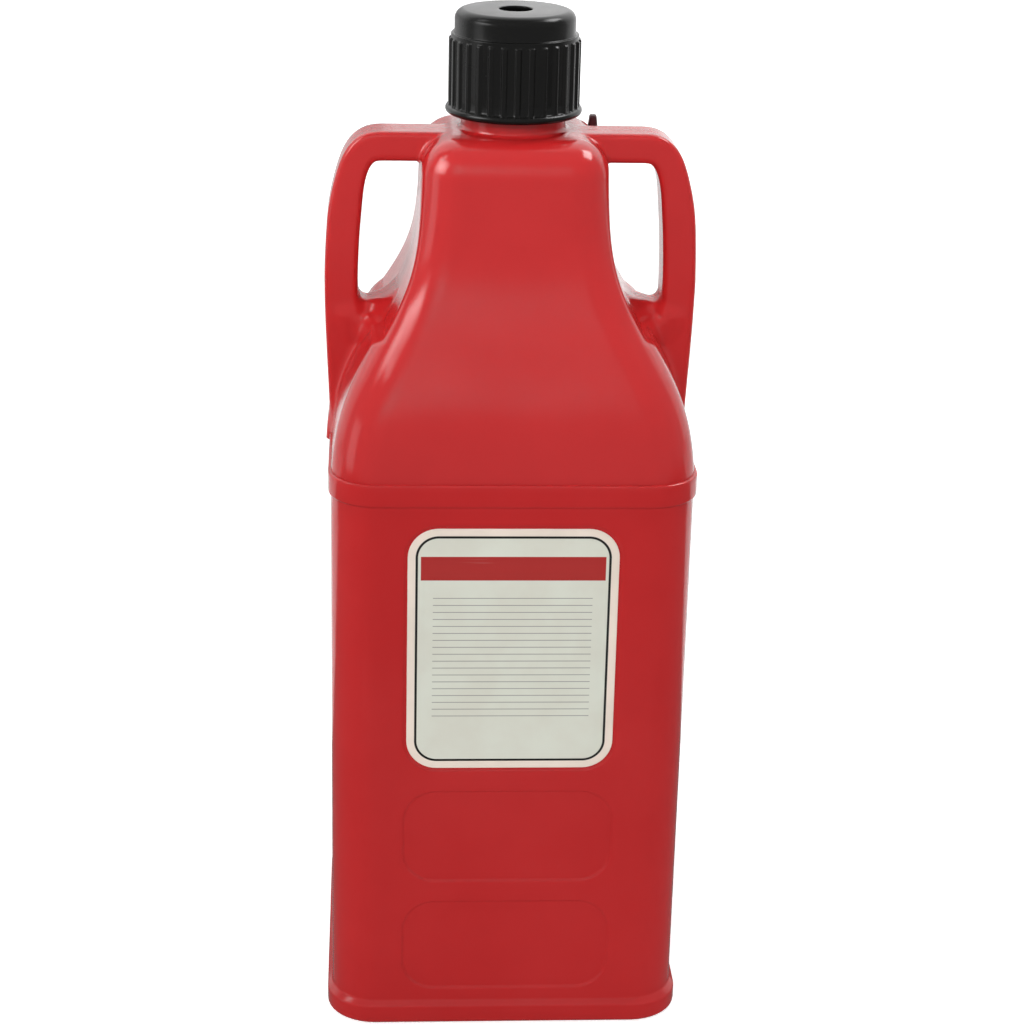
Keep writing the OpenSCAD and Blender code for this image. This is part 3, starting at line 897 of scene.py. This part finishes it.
    def lining(self) -> Shape:
        """Inner skin of the fuel space, from its floor up to the neck's bore, facing inwards.

        Returns:
            Points and four-sided faces.
        """
        core, out = self.perimeter(False)
        inner, floor = self.body_half - self.wall, self.base_recess + self.wall
        wall_rows, crown_rows, hub, hub_r, bevel, core_share, fit = 40, 9, 60.0, 24.0, 10.0, 0.6, 0.02
        z = np.linspace(self.belt_top - self.belt_height, self.crown_z, wall_rows)
        turn = np.radians(np.linspace(0.0, 90.0, crown_rows))[1:]
        round_r, inner_r = self.crown_rounding - self.wall, self.corner - self.wall
        crown = float(self.flare(np.array(self.crown_z))) - self.crown_rounding
        base, over = [0.0, hub, inner - bevel, inner], round_r * np.cos(turn)
        half = np.stack([np.concatenate([base, np.minimum(wall - self.wall, inner), crown + over])
                         for wall in (np.minimum(self.side(z), self.flare(z)), self.flare(z))], axis=1)
        top = self.crown_z + round_r * np.sin(turn)
        level = np.concatenate([[floor, floor, floor, floor + bevel], z, top])
        radius = np.concatenate([[0.0, hub_r, inner_r, inner_r], self.shoulder_corner(z) - self.wall,
                                 self.crown_corner - self.crown_rounding + over])
        rings = lifted(square_rings((core, out), half, radius), level)
        way = core * core_share + out * (1.0 - core_share)
        angle = np.arctan2(way[:, 1], way[:, 0])
        bore_r = self.neck_r - self.neck_wall - fit
        mouth_z = np.full(len(angle), self.deck_z - self.wall)
        mouth = np.stack([bore_r * np.cos(angle), bore_r * np.sin(angle), mouth_z], axis=1)
        points, faces = as_shape(np.concatenate([rings, mouth[None]]))
        return points, faces[:, ::-1]

    def neck(self) -> Shape:
        """Neck turned round the axis: fillet, threaded outside, round rim and bore. The thread is a ridge
        whose height follows the distance along the axis from a helix.

        Returns:
            Points and four-sided faces.
        """
        wall, deck, foot, top = self.neck_r, self.deck_z, self.neck_foot, self.rim_z
        bore, inside = wall - self.neck_wall, deck - self.wall
        outer, inner = self.rim_rounding
        apron, sunk, row, bore_row, tuck, tuck_drop, columns = 0.8, 0.15, 0.8, 30.0, 1.5, 0.5, 216
        profile = np.concatenate([
            [[wall + foot + apron, deck - sunk]], arc((wall + foot, deck + foot), foot, 270.0, 180.0, 8),
            upright(wall, deck + foot, top - outer, row)[1:],
            arc((wall - outer, top - outer), outer, 0.0, 90.0, 5)[1:],
            arc((bore + inner, top - inner), inner, 90.0, 180.0, 5),
            [[bore, top - bore_row], [bore, inside - tuck_drop], [bore + tuck, inside - 2.0 * tuck_drop]]])
        return as_shape(turned(profile, columns, self.thread))

    def build(self) -> list[bpy.types.Object]:
        """Build and dress the tank's pieces.

        Returns:
            The placed objects.
        """
        red = RED_TANK.material()
        skins = (("tank_body", self.body_skin, 60.0), ("tank_shoulder", self.shoulder_skin, 60.0),
                 ("tank_neck", self.neck, 50.0), ("tank_lining", self.lining, 50.0))
        return [Piece(name, *skin(), Body.TANK, red, "tank_plastic", ("tank_shell",), sharp).place()
                for name, skin, sharp in skins]


@dataclass
class Cap:
    """The ribbed screw cap with its flared rim, dome, port and inner thread, and the seal under its top."""

    bottom: float = 778.0
    rim_r: float = 56.7
    rim_height: float = 6.5
    skirt_r: float = 52.6
    skirt_top: float = 843.3
    skirt_edge: float = 0.8
    rib_depth: float = 1.8
    rib_count: int = 30
    rib_columns: int = 16
    rib_width: float = 6.0
    rib_gap: float = 3.0
    rib_run: float = 1.8
    rib_ease: float = 0.2
    dome_r: float = 49.8
    dome_rounding: float = 8.0
    dome_fillet: float = 0.9
    top: float = 862.8
    ceiling: float = 855.5
    port_r: float = 13.7
    port_edge: float = 0.8
    bore_r: float = 46.4
    bore_corner: float = 1.0
    bore_edge: float = 0.8
    thread: Helix = Helix(start=792.0, pitch=8.0, turns=2.5, root=2.1, crest=0.9, depth=2.4, wall_r=bore_r)

    def outside(self) -> Array:
        """Profile from the rim up the skirt, over the dome, down the port and along the ceiling to the bore.

        Returns:
            Radius and height, one a row.
        """
        lip, neck = self.rim_height / 2.0, self.bottom + self.rim_height
        edge, fillet, dome, port = self.skirt_edge, self.dome_fillet, self.dome_rounding, self.port_edge
        rib_top, corner, ring, port_rim = self.skirt_top - self.rib_gap, self.bore_corner, 30.0, 3.0
        hollow, bevel, ease, row, fine_row = 1.6, 0.4, 0.5, 6.0, 0.5
        rows_end, fine_start, fine_end = rib_top - 3.0, rib_top - 2.4, self.skirt_top - 1.0
        return np.concatenate([
            arc((self.rim_r - lip, self.bottom + lip), lip, -90.0, 40.0, 9),
            [[self.skirt_r + hollow, neck - bevel], [self.skirt_r + bevel, neck + ease]],
            upright(self.skirt_r, neck + hollow, rows_end, row),
            upright(self.skirt_r, fine_start, fine_end, fine_row),
            arc((self.skirt_r - edge, self.skirt_top - edge), edge, 0.0, 90.0, 4),
            arc((self.dome_r + fillet, self.skirt_top + fillet), fillet, 270.0, 180.0, 4),
            arc((self.dome_r - dome, self.top - dome), dome, 0.0, 90.0, 12),
            [[ring, self.top], [self.port_r + port_rim, self.top]],
            arc((self.port_r + port, self.top - port), port, 90.0, 180.0, 4),
            [[self.port_r, self.ceiling + bevel], [self.port_r + bevel, self.ceiling], [ring, self.ceiling]],
            arc((self.bore_r - corner, self.ceiling - corner), corner, 90.0, 0.0, 4)])

    def shape(self) -> Shape:
        """Profile turned round the axis. The ribs raise the skirt by a rounded trapezoid of the arc length
        from the nearest rib's middle, and the thread is a helix ridge inside the bore.

        Returns:
            Points and four-sided faces.
        """
        lip, columns, outside = self.rim_height / 2.0, self.rib_count * self.rib_columns, self.outside()
        edge, row = self.bore_edge, 1.0
        bore = upright(self.bore_r, self.ceiling - self.bore_corner, self.bottom + edge, row)[1:]
        close = [[self.bore_r + edge, self.bottom], [self.rim_r - lip, self.bottom]]
        profile = np.concatenate([outside, bore, close])
        points = turned(profile, columns, self.thread, outward=-1.0)
        radius, z = profile.T
        angle = np.linspace(0.0, TURN, columns, endpoint=False)
        pitch = TURN / self.rib_count
        off = np.abs((angle / pitch) % 1.0 - 0.5) * pitch * self.skirt_r
        rib = smooth(self.rib_width / 2.0, self.rib_width / 4.0 - self.rib_ease, off)
        skirt = (radius >= self.skirt_r - NEAR) & (np.arange(len(profile)) < len(outside))
        rib_top = self.skirt_top - self.rib_gap
        tall = smooth(rib_top, rib_top - self.rib_run, z) * skirt
        raised = np.maximum(0.0, self.skirt_r + self.rib_depth - radius) * tall * (z > self.bottom + lip)
        grow = 1.0 + raised[:, None] * rib[None] / np.maximum(radius[:, None], 1.0)
        points[..., :2] *= grow[..., None]
        return as_shape(points)

    def build(self) -> list[bpy.types.Object]:
        """Build the cap and dress the seal's solids.

        Returns:
            The placed objects.
        """
        BLACK_CAP.dress("cap_seal_disc")
        SEAL_RUBBER.dress("cap_gasket")
        black = BLACK_CAP.material()
        cap = Piece("ribbed_cap", *self.shape(), Body.CAP, black, "cap_plastic", ("screw_cap",), sharp=50.0)
        return [cap.place()]


@dataclass
class Vent:
    """The screwed vent behind the right handle: its plug is new, its bush and washer are the frame's own."""

    centre: Pair = VENT_AXIS
    stem_r: float = 3.2
    stem_z: float = 742.0
    thread: Helix = Helix(start=744.0, pitch=2.0, turns=3.0, root=0.5, crest=0.2, depth=0.8, wall_r=stem_r)
    head_r: float = 7.55
    head_z: float = 756.0
    head_top: float = 757.6
    wing_foot: Pair = (4.2, 5.4)
    wing_tip: Pair = (3.0, 4.6)
    wing_top: float = 768.2
    wing_sunk: float = 0.4
    wing_straight: float = 0.82
    wing_flat: float = 0.65
    wing_squareness: float = 0.55
    wing_columns: int = 64

    def plug(self) -> Shape:
        """Stem, thread and round head, turned round the plug's axis.

        Returns:
            Points and four-sided faces.
        """
        stem, head, low, top = self.stem_r, self.head_r, self.stem_z, self.head_top
        bevel, first_row, row, under_edge, under_r, over_r, columns = 0.5, 0.7, 0.2, 0.3, 0.4, 0.5, 96
        profile = np.concatenate([
            [[0.0, low], [stem - bevel, low], [stem, low + bevel]],
            upright(stem, low + first_row, self.head_z, row), [[head - under_edge, self.head_z]],
            arc((head - under_r, self.head_z + under_r), under_r, -60.0, 0.0, 3),
            arc((head - over_r, top - over_r), over_r, 0.0, 90.0, 4), [[0.0, top]]])
        return as_shape(turned(profile, columns, self.thread, self.centre))

    def wing(self) -> Shape:
        """Thumb wing: rounded oblong rings carried up from the head, drawn in to a round top.

        Returns:
            Points and four-sided faces.
        """
        angle = np.linspace(0.0, TURN, self.wing_columns, endpoint=False)
        rows, top_rows, top_start, last_ring, foot_flare, flare_fall = 12, 10, 8.0, 0.6, 0.12, 14.0
        straight = np.linspace(0.0, self.wing_straight, rows)
        turn = np.radians(np.linspace(top_start, 90.0, top_rows))
        rise = np.concatenate([straight, self.wing_straight + (1.0 - self.wing_straight) * np.sin(turn)])
        shrink = np.concatenate([np.ones(rows), np.cos(turn) * (1.0 - self.wing_flat) + self.wing_flat])
        shrink[-2:] = last_ring, 0.0
        flare = 1.0 + foot_flare * np.exp(-rise * flare_fall)
        foot = self.head_top - self.wing_sunk
        level = foot + (self.wing_top - foot) * rise
        sides = []
        for i, wave in enumerate((np.cos(angle), np.sin(angle))):
            half = (self.wing_foot[i] + (self.wing_tip[i] - self.wing_foot[i]) * rise) * shrink * flare
            ring = np.sign(wave) * np.abs(wave) ** self.wing_squareness
            sides.append(self.centre[i] + half[:, None] * ring[None])
        return as_shape(lifted(np.stack(sides, axis=-1), level))

    def build(self) -> list[bpy.types.Object]:
        """Build the plug and dress the bush and washer.

        Returns:
            The placed objects.
        """
        BLACK_CAP.dress("vent_bush")
        SEAL_RUBBER.dress("vent_washer")
        maroon = DARK_VENT.material()
        skins = (("vent_stem", self.plug, 45.0), ("vent_wing", self.wing, 60.0))
        return [Piece(name, *skin(), Body.VENT, maroon, "vent_plastic", ("vent_plug",), sharp).place()
                for name, skin, sharp in skins]


@dataclass
class Label:
    """The blank printed sheet in the upper front panel."""

    half_x: float = 87.1
    low: float = 248.4
    high: float = 465.6
    corner: float = 25.6
    back_y: float = -148.7
    thickness: float = 0.4
    keyline_inset: float = 6.5
    keyline_width: float = 2.0
    print_edge: float = 0.2
    band: Pair = (420.0, 441.0)
    band_half: float = 76.2
    rule_start: float = 297.0
    rule_pitch: float = 3.15
    rule_line: float = 0.32
    rule_half: float = 66.0
    rule_edge: float = 0.1
    rules: Pair = (295.65, 406.65)
    rules_edge: float = 0.15
    rule_strength: float = 0.8
    band_strength: float = 0.97
    soiling: float = 0.3
    rubbing: float = 0.5
    border: Colour = linear(246, 231, 217)
    stock: Colour = linear(222, 225, 212)
    soil: Colour = linear(206, 198, 184)
    rule_ink: Colour = linear(120, 118, 114)
    keyline_ink: Colour = linear(12, 11, 10)
    band_ink: Colour = linear(172, 6, 6)
    rubbed: Colour = linear(232, 226, 214)
    ior: float = 1.45
    gloss: float = 0.42
    gloss_spread: float = 0.12
    grain_size: float = 1800.0
    grain_height: float = 0.03
    flow_size: float = 22.0
    wear: float = 0.2

    @property
    def middle(self) -> float:
        """Height of the sheet's middle."""
        return (self.high + self.low) / 2.0

    @property
    def half_z(self) -> float:
        """Half the sheet's height."""
        return (self.high - self.low) / 2.0

    def shape(self) -> Shape:
        """Sheet with round corners: rings of its outline drawn in to its middle, with a soft edge.

        Returns:
            Points and four-sided faces.
        """
        corner_points = 13
        turn = np.radians(np.linspace(0.0, 90.0, corner_points))
        core = np.repeat(np.array([[1, 1], [-1, 1], [-1, -1], [1, -1]], float), len(turn), axis=0)
        angle = np.concatenate([turn + math.pi / 2 * i for i in range(4)])
        out = np.stack([np.cos(angle), np.sin(angle)], axis=1)
        inset = np.array([0.0, 0.0, 0.08, 0.25, 2.0, 12.0, 24.0])
        lift = self.thickness - np.array([self.thickness, 0.15, 0.04, 0.0, 0.0, 0.0, 0.0, 0.0])
        half = np.array([[self.half_x, self.half_z]]) - inset[:, None]
        rings = square_rings((core, out), half, self.corner - inset)
        rings = np.concatenate([rings, rings[-1:] * 0.0])
        depth = np.broadcast_to(self.back_y - lift[:, None], rings.shape[:2])
        return as_shape(np.stack([rings[..., 0], depth, rings[..., 1] + self.middle], axis=-1))

    def material(self) -> bpy.types.Material:
        """Printed sheet: cream stock, a thin dark keyline, a plain red band and ruled lines, slightly soiled.

        Returns:
            The material.
        """
        made, nodes, shader = new_material("printed_sheet")
        calc, mask, mix, soft = nodes.calc, nodes.past, nodes.mix, self.print_edge
        place, parts = nodes.coordinates()
        x, z = calc("ABSOLUTE", parts[0]), parts[2]
        up = calc("ABSOLUTE", calc("SUBTRACT", z, self.middle * MM))
        over_x = calc("MAXIMUM", calc("SUBTRACT", x, (self.half_x - self.corner) * MM), 0.0)
        over_z = calc("MAXIMUM", calc("SUBTRACT", up, (self.half_z - self.corner) * MM), 0.0)
        reach = calc("SQRT", calc("ADD", calc("MULTIPLY", over_x, over_x), calc("MULTIPLY", over_z, over_z)))
        edge = calc("SUBTRACT", self.corner * MM, reach)
        inside = mask(edge, self.keyline_inset, soft)
        keyline = calc("SUBTRACT", inside, mask(edge, self.keyline_inset + self.keyline_width, soft))
        band = calc("MULTIPLY", mask(z, self.band[0], soft), mask(z, self.band[1], -soft))
        band = calc("MULTIPLY", band, mask(x, self.band_half, -soft))
        ruled = calc("PINGPONG", calc("SUBTRACT", z, self.rule_start * MM), self.rule_pitch * MM)
        rows = calc("MULTIPLY", mask(ruled, self.rule_line, -self.rule_edge), mask(x, self.rule_half, -soft))
        (low, high), fade = self.rules, self.rules_edge
        span = calc("MULTIPLY", mask(z, low, fade), mask(z, high, -fade))
        grain = nodes.group(moulded_grain(), place, Grain=self.grain_size, Flow=self.flow_size)
        scuffs = nodes.group(handling_scuffs(), place, Amount=self.wear)
        sheet = mix(inside, self.border, self.stock, 1.0)
        rules = calc("MULTIPLY", rows, span)
        for share, ink, amount in (
                (grain["Mottle"], self.soil, self.soiling), (rules, self.rule_ink, self.rule_strength),
                (keyline, self.keyline_ink, 1.0), (band, self.band_ink, self.band_strength),
                (scuffs["Scuff"], self.rubbed, self.rubbing)):
            sheet = mix(share, sheet, ink, amount)
        nodes.feed(shader, {
            "IOR": self.ior, "Base Color": sheet, "Normal": nodes.relief(grain["Height"], self.grain_height),
            "Roughness": calc("MULTIPLY_ADD", grain["Mottle"], self.gloss_spread, self.gloss)})
        return made

    def build(self) -> list[bpy.types.Object]:
        """Build and dress the sheet.

        Returns:
            The placed objects.
        """
        sheet = Piece("label_sheet", *self.shape(), Body.TANK, self.material(), "label_sheet",
                      ("front_label",), sharp=35.0)
        return [sheet.place()]


@dataclass(frozen=True)
class Lamp:
    """A soft rectangular lamp, out of the camera's sight: where it stands and aims, its size and watts,
    whether gloss shows it, whether it lights dull surfaces, and the degrees that its light fans out over."""

    name: str
    place: Place
    aim: Place
    size: Pair
    power: float
    mirrored: bool = False
    lights: bool = True
    fan: float = 180.0

    def build(self) -> None:
        """Set the lamp up."""
        data = bpy.data.lights.new(self.name, "AREA")
        data.shape = "RECTANGLE"
        data.size, data.size_y = self.size
        data.energy = self.power
        data.spread = math.radians(self.fan)
        made = link(self.name, data)
        turn = (Vector(self.aim) - Vector(self.place)).to_track_quat("-Z", "Y")
        made.matrix_world = Matrix.Translation(self.place) @ turn.to_matrix().to_4x4()
        made.visible_camera, made.visible_glossy, made.visible_diffuse = False, self.mirrored, self.lights


@dataclass(frozen=True)
class Sheet:
    """A flat pale rectangle of the stage that keeps shadows: its ends along x, y and z, the light that it
    adds in the camera's view and in gloss, so that it reads white there, and how pale it is in gloss."""

    name: str
    across: Pair
    back: Pair
    height: Pair
    seen: float
    shine: float
    dull: float
    pale: float = 0.8
    rough: float = 0.9

    def build(self) -> None:
        """Set the sheet up."""
        (left, right), (near, far), (low, high) = self.across, self.back, self.height
        mesh = bpy.data.meshes.new(self.name)
        corners = [(left, near, low), (right, near, low), (right, far, high), (left, far, high)]
        mesh.from_pydata(corners, [], [(0, 1, 2, 3)])
        material, nodes, shader = new_material(self.name)
        path = nodes.add("LightPath", {})
        plain, glossy = (self.pale,) * 3 + (1.0,), (self.dull,) * 3 + (1.0,)
        camera = nodes.calc("MULTIPLY", path["Is Camera Ray"], self.seen)
        gloss = nodes.calc("MULTIPLY", path["Is Glossy Ray"], self.shine)
        nodes.feed(shader, {
            "Roughness": self.rough, "Specular IOR Level": 0.0, "Emission Color": WHITE,
            "Base Color": nodes.mix(path["Is Glossy Ray"], plain, glossy, 1.0),
            "Emission Strength": nodes.calc("ADD", camera, gloss)})
        mesh.materials.append(material)
        made = link(self.name, mesh)


CROWN, RIDGE, RIDGE_TOP = (0.0, 0.0, 0.7), (-0.07, -0.08, 0.68), (-0.062, -0.068, 0.75)
SHEETS = (
    Sheet("studio_floor", (-5.0, 5.0), (-2.2, 0.4), (0.0, 0.0), seen=0.72, shine=0.17, dull=0.06),
    Sheet("studio_sweep", (-5.0, 5.0), (0.4, 3.0), (0.0, 0.0), seen=0.72, shine=0.7, dull=0.5),
    Sheet("studio_backdrop", (-9.0, 9.0), (3.0, 3.0), (0.0, 6.0), seen=0.8, shine=0.86, dull=0.8),
    Sheet("studio_backdrop_low", (-2.0, -0.1), (2.98, 2.98), (0.0, 1.55), seen=0.8, shine=0.5, dull=0.45),
    Sheet("studio_backdrop_high", (-5.0, 5.0), (2.97, 2.97), (2.1, 10.0), seen=0.8, shine=1.4, dull=0.8))
LAMPS = (
    Lamp("front_box", (-0.4, -1.9, 2.0), (0.0, 0.0, 1.0), (1.4, 1.0), power=5.1, fan=55.0),
    Lamp("overhead_box", (0.0, -0.2, 2.8), (0.0, 0.0, 0.5), (2.0, 1.4), power=8.0),
    Lamp("low_front", (0.0, -0.62, 0.06), (0.0, 0.0, 0.06), (1.0, 0.1), power=0.62),
    Lamp("left_wash", (-2.0, 0.1, 0.5), (0.0, 0.0, 0.4), (0.8, 1.2), power=9.0),
    Lamp("right_wash", (2.0, 0.1, 0.5), (0.0, 0.0, 0.4), (0.8, 1.2), power=7.0),
    Lamp("left_box", (-2.07, -0.115, 2.9), RIDGE, (0.62, 1.0), power=6.5, mirrored=True),
    Lamp("ridge_glow", (-0.266, -0.142, 0.875), RIDGE_TOP, (0.18, 0.18), power=0.08, mirrored=True,
         lights=False, fan=50.0),
    Lamp("left_panel", (-2.2, -0.6, 0.75), CROWN, (0.8, 1.0), power=3.0, mirrored=True),
    Lamp("right_spot", (1.34, 0.41, 2.4), CROWN, (0.45, 0.45), power=8.0),
    Lamp("right_glint", (1.31, 0.4, 2.36), CROWN, (0.95, 0.65), power=20.0, mirrored=True, lights=False),
    Lamp("top_strip", (0.0, 0.3, 2.7), CROWN, (1.4, 0.2), power=0.8, mirrored=True))


@dataclass
class Studio:
    """Plain pale floor, soft lamps, white surroundings and the photograph's camera."""

    camera_place: Place = (-0.1176, -2.0165, 1.1946)
    camera_right: Place = (0.998338, -0.053025, 0.022246)
    camera_up: Place = (-0.00184, 0.35731, 0.93399)
    camera_back: Place = (-0.057473, -0.932486, 0.356621)
    lens: float = 86.494
    sensor: float = 36.0
    clip_end: float = 50.0
    surround: float = 0.38
    gloss: float = 0.48

    def camera(self) -> None:
        """Set up the camera by its three axes."""
        data = bpy.data.cameras.new("photo_camera")
        data.sensor_width = self.sensor
        data.lens = self.lens
        data.clip_end = self.clip_end
        view = link("photo_camera", data)
        axes = Matrix((self.camera_right, self.camera_up, self.camera_back)).transposed()
        view.matrix_world = Matrix.Translation(self.camera_place) @ axes.to_4x4()
        bpy.context.scene.camera = view

    def world(self) -> None:
        """White to the camera, dim in gloss, a plain level for everything else."""
        world = bpy.data.worlds.new("white_surround")
        bpy.context.scene.world = world
        world.use_nodes = True
        nodes = Nodes(world.node_tree)
        path = nodes.add("LightPath", {})
        seen = nodes.calc("MAXIMUM", path["Is Camera Ray"], path["Is Transmission Ray"])
        shine = nodes.calc("MULTIPLY", path["Is Glossy Ray"], self.gloss - self.surround)
        level = nodes.calc("MAXIMUM", seen, nodes.calc("ADD", shine, self.surround))
        nodes.feed(world.node_tree.nodes["Background"].inputs, {"Strength": level, "Color": WHITE})

    def build(self) -> None:
        """Set the stage."""
        scene = bpy.context.scene
        scene.view_settings.view_transform = "Standard"
        self.camera()
        self.world()
        for item in SHEETS + LAMPS:
            item.build()


def main() -> None:
    """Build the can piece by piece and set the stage."""
    logging.basicConfig(level=logging.INFO, format="%(message)s")
    made: list[bpy.types.Object] = []
    for assembly in (Tank(), Cap(), Vent(), Label()):
        made += assembly.build()
    LOG.info("%d new pieces", len(made))
    Studio().build()


if __name__ == "__main__":
    main()
